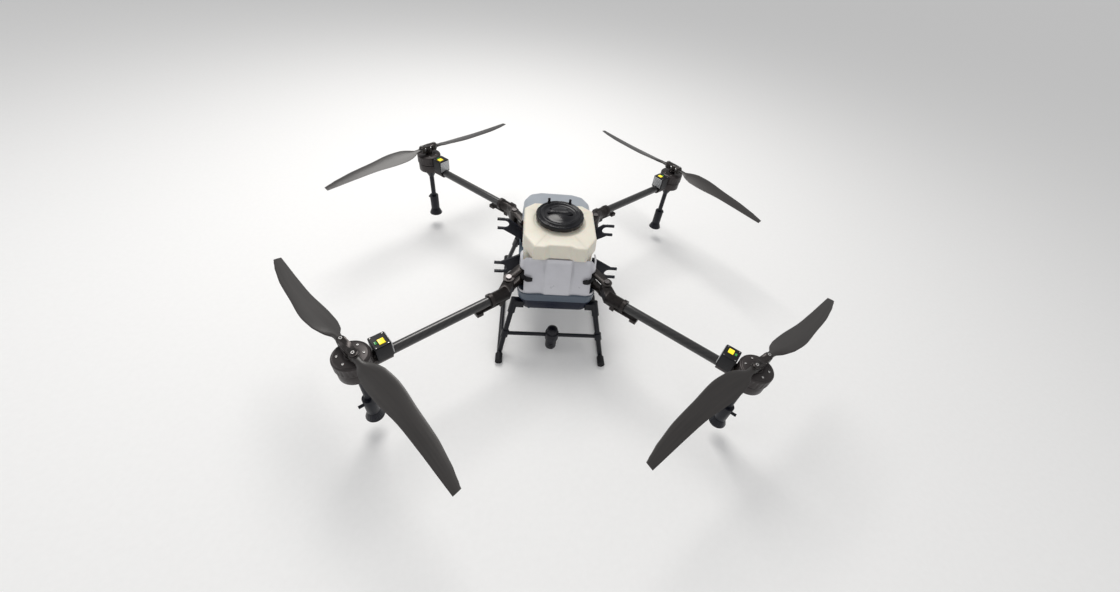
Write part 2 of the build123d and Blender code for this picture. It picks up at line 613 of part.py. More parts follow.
    with BuildPart() as disc:
        cone(
            at(motor, 0, 0, ATOMISER_BOTTOM - 3),
            at(motor, 0, 0, DISC_BOTTOM),
            ATOMISER_RADIUS - 1,
            DISC_RADIUS,
        )
        rod(
            at(motor, 0, 0, ATOMISER_BOTTOM - 22),
            at(motor, 0, 0, ATOMISER_BOTTOM),
            4 + RUNNING_FIT,
            mode=Mode.SUBTRACT,
        )
    finish(disc.part, f"{corner}_spray_disc")

    with BuildPart() as bell:
        rod(at(motor, 0, 0, BELL_BOTTOM), at(motor, 0, 0, MOTOR_TOP), MOTOR_RADIUS)
        rod(
            at(motor, 0, 0, BELL_BOTTOM),
            at(motor, 0, 0, MOTOR_TOP - 4),
            MOTOR_RADIUS - BELL_WALL,
            mode=Mode.SUBTRACT,
        )
        rod(at(motor, 0, 0, MOUNT_TOP), at(motor, 0, 0, MOTOR_TOP), SHAFT_RADIUS)
    finish(bell.part, f"{corner}_motor_bell")

    low_plate = BLADE_HEIGHT - ROOT_THICK / 2 - BLADE_GAP - CLAMP_THICK
    high_plate = BLADE_HEIGHT + ROOT_THICK / 2 + BLADE_GAP
    heading = BLADE_HEADINGS[corner]
    spoke = Vector(1, 0, 0).rotate(Axis.Z, heading)
    hub_plane = Plane(origin=motor.origin, x_dir=spoke, z_dir=(0, 0, 1))
    with BuildPart() as hub:
        rod(at(hub_plane, 0, 0, MOTOR_TOP), at(hub_plane, 0, 0, low_plate), 14)
        rod(at(hub_plane, 0, 0, low_plate), at(hub_plane, 0, 0, high_plate), 9)
        for base in (low_plate, high_plate):
            with BuildSketch(hub_plane.offset(base)):
                with Locations((-BOLT_SPACING, 0), (BOLT_SPACING, 0)):
                    Circle(ROOT_RADIUS - 2)
                Circle(ROOT_RADIUS)
                make_hull()
            extrude(amount=CLAMP_THICK)
        for along in (-BOLT_SPACING, BOLT_SPACING):
            rod(at(hub_plane, along, 0, low_plate), at(hub_plane, along, 0, high_plate), BOLT_RADIUS)
            rod(
                at(hub_plane, along, 0, high_plate),
                at(hub_plane, along, 0, high_plate + CLAMP_THICK + 4),
                6,
            )
    finish(hub.part, f"{corner}_prop_hub")

    spin = sx * sy
    for letter, turn in (("a", 0), ("b", 180)):
        finish(build_blade(hub_plane.rotated((0, 0, turn)), spin), f"{corner}_blade_{letter}")


def build_blade(plane, spin):
    """One folding blade, outward along the plane's X, pitched for its direction of spin."""
    last = PROP_RADIUS - BOLT_SPACING
    stations = [
        (34, 22, 11, 6, 0),
        (64, 52, 9, 15, 2),
        (100, BLADE_CHORD, BLADE_THICK, 16, 5),
        (180, 62, 6.5, 13, 7),
        (290, 48, 5, 10, 3),
        (390, 33, 3.5, 8, -7),
        (last, TIP_CHORD, 2.2, 7, -14),
    ]
    with BuildPart() as blade:
        rod(at(plane, BOLT_SPACING, 0, BLADE_HEIGHT - ROOT_THICK / 2),
            at(plane, BOLT_SPACING, 0, BLADE_HEIGHT + ROOT_THICK / 2), ROOT_RADIUS)
        faces = []
        for along, chord, thick, pitch, sweep in stations:
            drop = along * tan(radians(BLADE_DROOP))
            origin = at(plane, BOLT_SPACING + along, spin * sweep, BLADE_HEIGHT - drop)
            across = plane.y_dir * cos(radians(pitch)) + plane.z_dir * (spin * sin(radians(pitch)))
            with BuildSketch(Plane(origin=origin, x_dir=across, z_dir=plane.x_dir)) as section:
                Ellipse(chord / 2, thick / 2)
            faces.append(section.sketch.faces()[0])
        loft(faces)
        near = Plane(origin=at(plane, BOLT_SPACING, 0, BLADE_HEIGHT), x_dir=plane.y_dir, z_dir=plane.x_dir)
        with BuildSketch(near) as neck:
            Rectangle(20, 12)
        loft([neck.sketch.faces()[0], faces[0]])
        rod(at(plane, BOLT_SPACING, 0, 0), at(plane, BOLT_SPACING, 0, 2 * BLADE_HEIGHT),
            BOLT_RADIUS + RUNNING_FIT, mode=Mode.SUBTRACT)
    return blade.part


for corner, (sx, sy) in CORNERS.items():
    build_arm(corner, sx, sy)
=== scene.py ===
import json
from math import cos, pi, radians, sin, tan

import bmesh
import bpy
from mathutils import Matrix, Vector


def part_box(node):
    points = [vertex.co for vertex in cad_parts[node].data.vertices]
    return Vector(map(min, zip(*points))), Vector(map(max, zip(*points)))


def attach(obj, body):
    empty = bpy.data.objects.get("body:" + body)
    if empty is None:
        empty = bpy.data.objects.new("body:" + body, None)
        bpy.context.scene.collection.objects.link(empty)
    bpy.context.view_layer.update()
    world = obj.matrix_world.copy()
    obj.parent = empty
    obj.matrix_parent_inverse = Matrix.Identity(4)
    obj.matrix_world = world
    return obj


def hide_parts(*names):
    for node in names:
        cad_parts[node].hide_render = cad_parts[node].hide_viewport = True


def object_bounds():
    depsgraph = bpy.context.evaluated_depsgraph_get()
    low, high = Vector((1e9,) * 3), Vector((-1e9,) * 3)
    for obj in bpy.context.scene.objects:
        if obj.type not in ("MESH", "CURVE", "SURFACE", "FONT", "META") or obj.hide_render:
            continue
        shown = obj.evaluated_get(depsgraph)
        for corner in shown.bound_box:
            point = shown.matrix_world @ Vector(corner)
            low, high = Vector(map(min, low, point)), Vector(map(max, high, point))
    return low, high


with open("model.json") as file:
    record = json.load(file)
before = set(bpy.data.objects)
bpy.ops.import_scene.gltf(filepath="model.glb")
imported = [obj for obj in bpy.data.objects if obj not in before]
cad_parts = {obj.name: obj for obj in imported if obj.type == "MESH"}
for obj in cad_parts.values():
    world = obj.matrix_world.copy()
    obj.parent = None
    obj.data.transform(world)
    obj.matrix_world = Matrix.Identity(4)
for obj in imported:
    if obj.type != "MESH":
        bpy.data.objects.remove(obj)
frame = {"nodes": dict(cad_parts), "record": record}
cad_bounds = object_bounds()

RECORD = frame["record"]
JOINTS = {joint["name"]: joint for joint in RECORD["behaviour"]["joints"]}
BODY_OF = {node: body for body, nodes in RECORD["behaviour"]["bodies"].items() for node in nodes}
SLOT_OF = {part["node"]: part["material_slot"] for part in RECORD["subparts"]}
CORNERS = {"front_left": (-1, -1), "front_right": (1, -1), "rear_left": (-1, 1), "rear_right": (1, 1)}
MM = 0.001


# ------------------------------------------------------------------ materials
def node(tree, kind, **settings):
    """Adds a shader node and sets its properties and named inputs."""
    made = tree.nodes.new(kind)
    for key, value in settings.items():
        if key in made.inputs:
            made.inputs[key].default_value = value
        else:
            setattr(made, key, value)
    return made


def finish_material(name, color, rough, metal=0.0, coat=0.0, coat_rough=0.1, spread=0.25, grain=60.0,
                    rough_spread=0.08, bump=0.15, bump_grain=900.0, stretch=(1, 1, 1), coords="Object",
                    specular=0.5, subsurface=0.0):
    """Procedural finish: mottled colour, uneven gloss and a fine surface grain."""
    mat = bpy.data.materials.new(name)
    mat.use_nodes = True
    tree = mat.node_tree
    shader = tree.nodes["Principled BSDF"]
    shader.inputs["Metallic"].default_value = metal
    shader.inputs["Coat Weight"].default_value = coat
    shader.inputs["Coat Roughness"].default_value = coat_rough
    shader.inputs["Specular IOR Level"].default_value = specular
    shader.inputs["Subsurface Weight"].default_value = subsurface
    shader.inputs["Subsurface Scale"].default_value = 0.004
    place = node(tree, "ShaderNodeTexCoord")
    mapping = node(tree, "ShaderNodeMapping")
    mapping.inputs["Scale"].default_value = stretch
    tree.links.new(place.outputs[coords], mapping.inputs["Vector"])
    broad = node(tree, "ShaderNodeTexNoise", Scale=grain, Detail=6.0, Roughness=0.6)
    tree.links.new(mapping.outputs[0], broad.inputs["Vector"])
    tint = node(tree, "ShaderNodeValToRGB")
    tint.color_ramp.elements[0].position = 0.3
    tint.color_ramp.elements[1].position = 0.7
    tint.color_ramp.elements[0].color = [c * (1 - spread) for c in color] + [1]
    tint.color_ramp.elements[1].color = [min(1, c * (1 + spread)) for c in color] + [1]
    tree.links.new(broad.outputs["Fac"], tint.inputs["Fac"])
    tree.links.new(tint.outputs["Color"], shader.inputs["Base Color"])
    gloss = node(tree, "ShaderNodeMapRange")
    gloss.inputs["To Min"].default_value = max(0.02, rough - rough_spread)
    gloss.inputs["To Max"].default_value = rough + rough_spread
    tree.links.new(broad.outputs["Fac"], gloss.inputs["Value"])
    tree.links.new(gloss.outputs["Result"], shader.inputs["Roughness"])
    fine = node(tree, "ShaderNodeTexNoise", Scale=bump_grain, Detail=3.0)
    tree.links.new(mapping.outputs[0], fine.inputs["Vector"])
    relief = node(tree, "ShaderNodeBump", Strength=bump, Distance=0.0004)
    tree.links.new(fine.outputs["Fac"], relief.inputs["Height"])
    tree.links.new(relief.outputs["Normal"], shader.inputs["Normal"])
    return mat


def carbon_material(name, dark, light, cells_around, cells_along, coat=1.0):
    """Twill-woven carbon under a clear coat, laid out on a piece's own UV map."""
    mat = finish_material(name, dark, 0.32, coat=coat, coat_rough=0.06, bump=0.05, coords="UV")
    tree = mat.node_tree
    shader = tree.nodes["Principled BSDF"]
    uv = node(tree, "ShaderNodeTexCoord")
    split = node(tree, "ShaderNodeSeparateXYZ")
    tree.links.new(uv.outputs["UV"], split.inputs[0])
    steps = []
    for axis, cells in (("X", cells_around), ("Y", cells_along)):
        grow = node(tree, "ShaderNodeMath", operation="MULTIPLY")
        grow.inputs[1].default_value = cells
        tree.links.new(split.outputs[axis], grow.inputs[0])
        cut = node(tree, "ShaderNodeMath", operation="FLOOR")
        tree.links.new(grow.outputs[0], cut.inputs[0])
        steps.append(cut)
    total = node(tree, "ShaderNodeMath", operation="ADD")
    tree.links.new(steps[0].outputs[0], total.inputs[0])
    tree.links.new(steps[1].outputs[0], total.inputs[1])
    wrap = node(tree, "ShaderNodeMath", operation="MODULO")
    wrap.inputs[1].default_value = 4.0
    tree.links.new(total.outputs[0], wrap.inputs[0])
    over = node(tree, "ShaderNodeMath", operation="GREATER_THAN")
    over.inputs[1].default_value = 1.5
    tree.links.new(wrap.outputs[0], over.inputs[0])
    blend = node(tree, "ShaderNodeMix", data_type="RGBA")
    blend.inputs[6].default_value = list(dark) + [1]
    blend.inputs[7].default_value = list(light) + [1]
    tree.links.new(over.outputs[0], blend.inputs[0])
    tree.links.new(blend.outputs[2], shader.inputs["Base Color"])
    return mat


def lamp_material(name, color, glow):
    """Lamp window: rows of bright dots behind a tinted lens."""
    mat = finish_material(name, color, 0.2, coat=0.6, spread=0.1, grain=300)
    tree = mat.node_tree
    shader = tree.nodes["Principled BSDF"]
    place = node(tree, "ShaderNodeTexCoord")
    dots = node(tree, "ShaderNodeTexVoronoi", Scale=220.0)
    tree.links.new(place.outputs["Object"], dots.inputs["Vector"])
    ramp = node(tree, "ShaderNodeValToRGB")
    ramp.color_ramp.elements[0].color = list(color) + [1]
    ramp.color_ramp.elements[1].color = [c * 0.45 for c in color] + [1]
    tree.links.new(dots.outputs["Distance"], ramp.inputs["Fac"])
    tree.links.new(ramp.outputs["Color"], shader.inputs["Emission Color"])
    shader.inputs["Emission Strength"].default_value = glow
    return mat


MATS = {
    "tray_plastic": finish_material("tray", (0.003, 0.006, 0.020), 0.42, specular=0.3, spread=0.2),
    # Frame rim: the lip's own dark grey, lightened well past the navy tray by a painted highlight for the light its
    # sloped face catches.
    "rim_plastic": finish_material("rim", (0.07, 0.095, 0.13), 0.42, coat=0.2, spread=0.08),
    "cowl_plastic": finish_material("cowl", (0.56, 0.56, 0.60), 0.3, metal=0.15, coat=0.6, spread=0.04,
            grain=25,
                                    bump=0.04, bump_grain=2500),
    "rear_cowl_plastic": finish_material("rear_cowl", (0.30, 0.33, 0.37), 0.34, coat=0.35, spread=0.05,
            grain=25),
    "tank_plastic": finish_material("tank", (0.74, 0.70, 0.60), 0.42, spread=0.03, grain=18, bump=0.1,
                                    bump_grain=600, subsurface=0.15),
    "cap_plastic": finish_material("cap", (0.0015, 0.0015, 0.004), 0.2, specular=0.35, spread=0.3, bump=0.03),
    "seal_rubber": finish_material("seal", (0.03, 0.03, 0.03), 0.7, bump=0.4),
    "mesh_plastic": finish_material("strainer", (0.12, 0.12, 0.13), 0.5),
    "battery_plastic": finish_material("battery", (0.016, 0.016, 0.018), 0.5, bump=0.4, bump_grain=1400),
    "fitting_metal": finish_material("fitting", (0.026, 0.022, 0.021), 0.36, metal=0.6, spread=0.35, grain=90,
                                     bump=0.25),
    "pin_steel": finish_material("pin", (0.16, 0.15, 0.15), 0.3, metal=1.0, spread=0.15, grain=300),
    "clip_plastic": finish_material("clip", (0.003, 0.004, 0.010), 0.4, specular=0.3, bump=0.35,
            bump_grain=1400),
    "gear_tube": finish_material("gear_carbon", (0.004, 0.005, 0.009), 0.34, specular=0.3, spread=0.35,
            grain=140),
    "carbon_tube": carbon_material("arm_carbon", (0.004, 0.004, 0.005), (0.012, 0.011, 0.011), 24, 90,
            coat=0.5),
    "foot_rubber": finish_material("foot", (0.004, 0.004, 0.006), 0.62, specular=0.3, bump=0.5,
            bump_grain=700),
    "pod_plastic": finish_material("pod", (0.003, 0.003, 0.007), 0.36, specular=0.35, bump=0.3,
            bump_grain=1500),
    "pump_plastic": finish_material("pump", (0.05, 0.16, 0.28), 0.25, coat=0.4, spread=0.3),
    "controller_plastic": finish_material("controller", (0.004, 0.004, 0.006), 0.45, specular=0.3,
            bump=0.35, bump_grain=1500),
    "motor_metal": finish_material("motor", (0.040, 0.034, 0.034), 0.38, metal=0.5, spread=0.12, grain=120,
                                   bump=0.12),
    "nozzle_plastic": finish_material("nozzle", (0.004, 0.005, 0.010), 0.4, specular=0.3, bump=0.3),
    "hub_metal": finish_material("hub", (0.050, 0.045, 0.044), 0.3, metal=0.85, spread=0.3, grain=160),
    "blade_composite": finish_material("blade", (0.020, 0.017, 0.016), 0.38, coat=0.15, coat_rough=0.25,
                                       spread=0.28, grain=5, bump=0.2, bump_grain=90, stretch=(3, 0.4, 1),
                                       coords="UV"),
}
SCREW = finish_material("screw", (0.62, 0.61, 0.60), 0.25, metal=1.0, spread=0.1, grain=300)
SILVER = finish_material("silver_face", (0.55, 0.56, 0.57), 0.35, metal=0.4, spread=0.05, grain=200)
LAMP = lamp_material("yellow_lamp", (0.95, 0.72, 0.02), 0.8)
GREEN_LAMP = lamp_material("green_lamp", (0.03, 0.28, 0.05), 0.2)


# ------------------------------------------------------------------ mesh helpers
def shade(obj, angle=32):
    """Smooth shading with sharp edges kept where faces turn by more than the angle."""
    obj.data.polygons.foreach_set("use_smooth", [True] * len(obj.data.polygons))
    obj.data.set_sharp_from_angle(angle=radians(angle))


def piece(name, mesh, body, mat, angle=32):
    """Puts a finished mesh in the scene, on its body and with its material."""
    obj = bpy.data.objects.new(name, mesh)
    bpy.context.collection.objects.link(obj)
    mesh.materials.clear()
    mesh.materials.append(mat)
    shade(obj, angle)
    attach(obj, body)
    return obj


def grid_mesh(name, rows, closed=True, caps=True):
    """Mesh from rows of points, each joined to the next; UVs run round (u) and along (v)."""
    mesh = bpy.data.meshes.new(name)
    bm = bmesh.new()
    layer = bm.loops.layers.uv.new("UVMap")
    made = [[bm.verts.new(point) for point in row] for row in rows]
    count = len(rows[0])
    last = count if closed else count - 1
    for level in range(len(rows) - 1):
        for step in range(last):
            after = (step + 1) % count
            corners = [made[level][step], made[level][after], made[level + 1][after], made[level + 1][step]]
            uvs = [(step, level), (step + 1, level), (step + 1, level + 1), (step, level + 1)]
            face = bm.faces.new(corners)
            for loop, (u, v) in zip(face.loops, uvs):
                loop[layer].uv = (u / count, v / (len(rows) - 1))
    if caps:
        bm.faces.new(list(reversed(made[0])))
        bm.faces.new(made[-1])
    bm.normal_update()
    bmesh.ops.recalc_face_normals(bm, faces=bm.faces)
    bm.to_mesh(mesh)
    bm.free()
    return mesh


def frame_matrix(origin, axis, across=None):
    """Matrix that takes local Z to an axis, at an origin."""
    up = Vector(axis).normalized()
    side = Vector(across) if across else (Vector((0, 0, 1)) if abs(up.z) < 0.9 else Vector((1, 0, 0)))
    side = (side - up * side.dot(up)).normalized()
    third = up.cross(side)
    turn = Matrix((side, third, up)).transposed().to_4x4()
    return Matrix.Translation(origin) @ turn


def lathe(name, profile, origin, axis=(0, 0, 1), steps=72, ripple=None):
    """Mesh turned round an axis from (radius, height) points in metres."""
    place = frame_matrix(origin, axis)
    rows = []
    for radius, height in profile:
        row = []
        for step in range(steps):
            turn = 2 * pi * step / steps
            reach = radius + (ripple(turn, radius, height) if ripple else 0)
            row.append(place @ Vector((reach * cos(turn), reach * sin(turn), height)))
        rows.append(row)
    return grid_mesh(name, rows)


def softened(node_name, width=0.0008, mat=None, angle=32):
    """Shows a CAD node with its hard edges rounded, in place of the raw solid."""
    source = frame["nodes"][node_name]
    mesh = source.data.copy()
    bm = bmesh.new()
    bm.from_mesh(mesh)
    bmesh.ops.transform(bm, matrix=source.matrix_world, verts=bm.verts)
    bmesh.ops.remove_doubles(bm, verts=bm.verts, dist=2e-6)
    bmesh.ops.dissolve_limit(bm, angle_limit=radians(1.0), verts=bm.verts, edges=bm.edges)
    sharp = [e for e in bm.edges if len(e.link_faces) == 2 and e.calc_face_angle(0) > radians(38)
             and e.calc_length() > 2.2 * width]
    bmesh.ops.bevel(bm, geom=sharp, offset=width, segments=2, affect="EDGES", clamp_overlap=True, profile=0.6)
    bmesh.ops.triangulate(bm, faces=[f for f in bm.faces if len(f.verts) > 4])
    bm.to_mesh(mesh)
    bm.free()
    slot = SLOT_OF[node_name]
    shown = piece(node_name + "_shell", mesh, BODY_OF[node_name], mat or MATS[slot], angle)
    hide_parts(node_name)
    return shown


# ------------------------------------------------------------------ outlines and shells
def rounded_outline(corners, radius, spacing=0.008, arc_steps=7):
    """Closed outline through (x, y) corners, each rounded, with its straight stretches divided."""
    count = len(corners)
    points = []
    for index, corner in enumerate(corners):
        here = Vector(corner)
        before = (Vector(corners[index - 1]) - here).normalized()
        after = (Vector(corners[(index + 1) % count]) - here).normalized()
        half = before.angle(after) / 2
        back = min(radius / tan(half), 0.45 * (Vector(corners[index - 1]) - here).length,
                   0.45 * (Vector(corners[(index + 1) % count]) - here).length)
        start, end = here + before * back, here + after * back
        for step in range(arc_steps + 1):
            share = step / arc_steps
            points.append(start * (1 - share) ** 2 + here * 2 * share * (1 - share) + end * share ** 2)
    divided = []
    for index, point in enumerate(points):
        following = points[(index + 1) % len(points)]
        pieces = max(1, int((following - point).length / spacing))
        divided += [point.lerp(following, step / pieces) for step in range(pieces)]
    return divided


def inset_outline(points, distance):
    """The same outline moved inwards along its normals (outward where the distance is negative)."""
    count = len(points)
    area = sum(points[i].x * points[(i + 1) % count].y - points[(i + 1) % count].x * points[i].y for i in range(count))
    turn = 1 if area > 0 else -1
    moved = []
    for index, point in enumerate(points):
        along = (points[(index + 1) % count] - points[index - 1]).normalized()
        moved.append(point + Vector((-along.y, along.x)) * distance * turn)
    return moved


def rectangle(half_width, front, rear):
    """Corners of a body outline, front towards -Y."""
    return [(-half_width, -front), (half_width, -front), (half_width, rear), (-half_width, rear)]


def lifted(points, height):
    """Outline points at one height."""
    return [Vector((point.x, point.y, height)) for point in points]


def cut_boxes(mesh, boxes, name="cut"):
    """Mesh with boxes, given as two corners each, cut out of it."""
    bm = bmesh.new()
    bm.from_mesh(mesh)
    bmesh.ops.remove_doubles(bm, verts=bm.verts, dist=1e-6)
    bmesh.ops.recalc_face_normals(bm, faces=bm.faces)
    bm.to_mesh(mesh)
    bm.free()
    body = bpy.data.objects.new(name, mesh)
    bpy.context.collection.objects.link(body)
    cutters = []
    for low, high in boxes:
        cutter_mesh = bpy.data.meshes.new("cutter")
        bm = bmesh.new()
        bmesh.ops.create_cube(bm, size=1)
        for vert in bm.verts:
            vert.co = Vector([a + (b - a) * (c + 0.5) for a, b, c in zip(low, high, vert.co)])
        bm.to_mesh(cutter_mesh)
        bm.free()
        cutter = bpy.data.objects.new("cutter", cutter_mesh)
        bpy.context.collection.objects.link(cutter)
        cutters.append(cutter)
        step = body.modifiers.new("cut", "BOOLEAN")
        step.operation = "DIFFERENCE"
        step.solver = "EXACT"
        step.object = cutter
    bpy.context.view_layer.update()
    done = bpy.data.meshes.new_from_object(body.evaluated_get(bpy.context.evaluated_depsgraph_get()))
    for obj in cutters + [body]:
        bpy.data.objects.remove(obj)
    return done


def edge_softened(mesh, width, angle=38):
    """Mesh with its remaining hard edges rounded."""
    bm = bmesh.new()
    bm.from_mesh(mesh)
    bmesh.ops.remove_doubles(bm, verts=bm.verts, dist=1e-6)
    sharp = [e for e in bm.edges if len(e.link_faces) == 2 and e.calc_face_angle(0) > radians(angle)
             and e.calc_length() > 1.5 * width]
    bmesh.ops.bevel(bm, geom=sharp, offset=width, segments=2, affect="EDGES", clamp_overlap=True, profile=0.6)
    bm.to_mesh(mesh)
    bm.free()
    return mesh


def bump_step(value, low, high):
    """Smooth step from 0 to 1 between two values."""
    share = min(1.0, max(0.0, (value - low) / (high - low)))
    return share * share * (3 - 2 * share)


# ------------------------------------------------------------------ sizes read from the frame
cowl_low, cowl_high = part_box("front_cowl")
tank_low, tank_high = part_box("tank_shell")
rear_low, rear_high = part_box("rear_cowl")
cap_low, cap_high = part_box("tank_cap")
rim_low, rim_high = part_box("frame_rim")
DECK = rim_high[2]
BODY_HALF = cowl_high[0]
BODY_FRONT = -cowl_low[1]
COWL_TOP = cowl_high[2]
WALL = 3 * MM
NOTCH = (0.090, 0.163)
RAKE = 40 * MM


def front_cowl():
    """Raked front cowl: a raised middle panel between two scooped valleys, rounded corners."""
    rows_out, rows_in = [], []
    levels = 26
    for level in range(levels + 1):
        share = level / levels
        height = DECK + (COWL_TOP - DECK) * share
        half, front = BODY_HALF - 8 * MM * share, BODY_FRONT - RAKE * share
        outline = rounded_outline(rectangle(half, front, 0.0), 38 * MM, spacing=3 * MM, arc_steps=14)
        crown = 5 * MM * (1 - share) ** 6 + 5 * MM * bump_step(share, 0.86, 1.0) ** 2
        ring = inset_outline(outline, crown * 0.7)
        shaped = []
        for point in ring:
            facing = bump_step(-point.y, front - 60 * MM, front - 6 * MM)
            aside = abs(point.x)
            panel = 2.4 * MM * (1 - bump_step(aside, 40 * MM, 46 * MM))
            fade = bump_step(aside, 42 * MM, 56 * MM) * (1 - bump_step(aside, 58 * MM, 104 * MM))
            valley = 8 * MM * fade * (0.35 + 0.65 * share)
            shaped.append(Vector((point.x, point.y + facing * (valley - panel + 2.4 * MM), height)))
        rows_out.append(shaped)
        inner = inset_outline([p.xy for p in shaped], WALL)
        rows_in.append([Vector((p.x, p.y, min(height, COWL_TOP - WALL))) for p in inner])
    rows = list(reversed(rows_in)) + rows_out
    middle = Vector((0, -60 * MM))
    lip = [Vector((middle.x + (p.x - middle.x) * 0.8, middle.y + (p.y - middle.y) * 0.8,
            COWL_TOP)) for p in rows_out[-1]]
    lip_low = [Vector((p.x, p.y, COWL_TOP - WALL)) for p in lip]
    mesh = grid_mesh("front_cowl_shell", [lip_low] + rows + [lip, lip_low], caps=False)
    boxes = [((-0.3, -0.112, 0), (0.3, 0.2, 0.4)), ((-0.118, -0.147, 0.15), (0.118, 0.2, 0.4))]
    for side in (-1, 1):
        near, far = sorted((side * 112 * MM, side * 200 * MM))
        boxes.append(((near, -0.186, NOTCH[0]), (far, 0.0, NOTCH[1])))
    mesh = edge_softened(cut_boxes(mesh, boxes), 0.7 * MM, angle=50)
    shell = piece("front_cowl_shell", mesh, "airframe", MATS["cowl_plastic"], 40)
    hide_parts("front_cowl")


def cowl_latch(side):
    """Rubber pull tab with ribs that hooks the cowl to the frame."""
    rows = []
    for level in range(9):
        share = level / 8
        x = side * (84 + 46 * share) * MM
        wrap = 26 * MM * bump_step(share, 0.35, 1.0)
        width = (8 + 3 * sin(pi * share)) * MM * (0.75 if level in (0, 8) else 1)
        ring = []
        for step in range(16):
            turn = 2 * pi * step / 16
            ring.append((x, -0.1815 + wrap + 4.5 * MM * cos(turn), 0.139 + width * sin(turn)))
        rows.append(ring)
    mesh = grid_mesh("latch", rows)
    piece(f"cowl_latch_{'left' if side < 0 else 'right'}", mesh, "airframe", MATS["foot_rubber"])


def tank_corners(half, front, rear, recess=10 * MM):
    """Corners of the tank's outline, counter-clockwise from the rear left."""
    shoulder = 62 * MM
    half_front = [(34 * MM, -front + recess), (50 * MM, -front), (86 * MM, -front), (half, -front + shoulder),
                  (half, rear - 34 * MM), (86 * MM, rear)]
    return [(-x, y) for x, y in reversed(half_front)] + half_front


def tank_shell():
    """Blow-moulded tank: faceted outline, bevelled top, dished collar and threaded neck."""
    half, front, rear = tank_high[0], -tank_low[1], tank_high[1]
    step, inset, shoulder = 12 * MM, 4 * MM, 206 * MM
    top = 259 * MM
    upper = rounded_outline(tank_corners(half, front, rear), 9 * MM, spacing=4 * MM)
    lower = rounded_outline(tank_corners(half - inset, front - inset - step, rear - inset), 9 * MM,
            spacing=4 * MM)
    count = max(len(upper), len(lower))

    def spread(points):
        """Same number of points in every outline, evenly along it."""
        lengths = [0.0]
        for index in range(len(points)):
            lengths.append(lengths[-1] + (points[(index + 1) % len(points)] - points[index]).length)
        result, index = [], 0
        for number in range(count):
            target = lengths[-1] * number / count
            while lengths[index + 1] < target:
                index += 1
            share = (target - lengths[index]) / (lengths[index + 1] - lengths[index])
            result.append(points[index].lerp(points[(index + 1) % len(points)], share))
        return result

    if len(upper) != count:
        upper = spread(upper)
    if len(lower) != count:
        lower = spread(lower)
    rows = [lifted(inset_outline(lower, 6 * MM), tank_low[2]), lifted(inset_outline(lower, 1.8 * MM),
            tank_low[2] + 1.8 * MM),
            lifted(lower, tank_low[2] + 6 * MM), lifted(lower, shoulder - 3 * MM), lifted(lower, shoulder),
            lifted(inset_outline(upper, 3 * MM), shoulder + 0.4 * MM), lifted(inset_outline(upper,
                    0.6 * MM), shoulder + 2 * MM),
            lifted(upper, shoulder + 5 * MM)]
    bevel = 7 * MM
    rows += [lifted(inset_outline(upper, 1.2 * MM), shoulder + 26 * MM), lifted(inset_outline(upper,
            2 * MM), top - bevel)]
    for step_number in range(1, 5):
        turn = pi / 2 * step_number / 4
        rows.append(lifted(inset_outline(upper, 2 * MM + bevel * (1 - cos(turn))),
                top - bevel + bevel * sin(turn)))
    edge = inset_outline(upper, 10 * MM)
    centre = Vector((0, -10 * MM))

    def circle(radius, height, middle):
        """Ring of the collar, with as many points as the outline."""
        ring = []
        for point in edge:
            away = (point - Vector((0, -10 * MM))).normalized()
            spot = middle + away * radius
            ring.append(Vector((spot.x, spot.y, height)))
        return ring

    rim = circle(91 * MM, top, centre)
    rows.append([Vector((p.x, p.y, top)).lerp(q, 0.5) for p, q in zip(edge, rim)])
    rows += [rim, circle(89.5 * MM, top - 0.5 * MM, centre), circle(87 * MM, top - 2.6 * MM, centre * 0.8),
             circle(83 * MM, top - 3.2 * MM, centre * 0.6), circle(74 * MM, top - 3.2 * MM, centre * 0),
             circle(70 * MM, top - 2 * MM, centre * 0)]
    for turn in range(3):
        base = top + (1 + 4 * turn) * MM
        rows += [circle(70 * MM, base, centre * 0), circle(71 * MM, base + 1 * MM, centre * 0),
                 circle(71 * MM, base + 2 * MM, centre * 0), circle(70 * MM, base + 3 * MM, centre * 0)]
    rows += [circle(69.5 * MM, 272 * MM, centre * 0), circle(62.5 * MM, 272 * MM, centre * 0),
             circle(62 * MM, 271 * MM, centre * 0), circle(62 * MM, 252 * MM, centre * 0),
             circle(80 * MM, 252 * MM, centre * 0)]
    rows += [lifted(inset_outline(upper, 12 * MM), 251 * MM), lifted(inset_outline(upper, 4 * MM), 245 * MM),
             lifted(inset_outline(upper, 4 * MM), 212 * MM), lifted(inset_outline(lower, 4 * MM), 205 * MM),
             lifted(inset_outline(lower, 4 * MM), tank_low[2] + 8 * MM), lifted(inset_outline(lower,
                     8 * MM), tank_low[2] + 4 * MM)]
    mesh = grid_mesh("tank_shell_body", rows)
    shell = piece("tank_shell_body", mesh, "tank", MATS["tank_plastic"], 50)
    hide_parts("tank_shell")


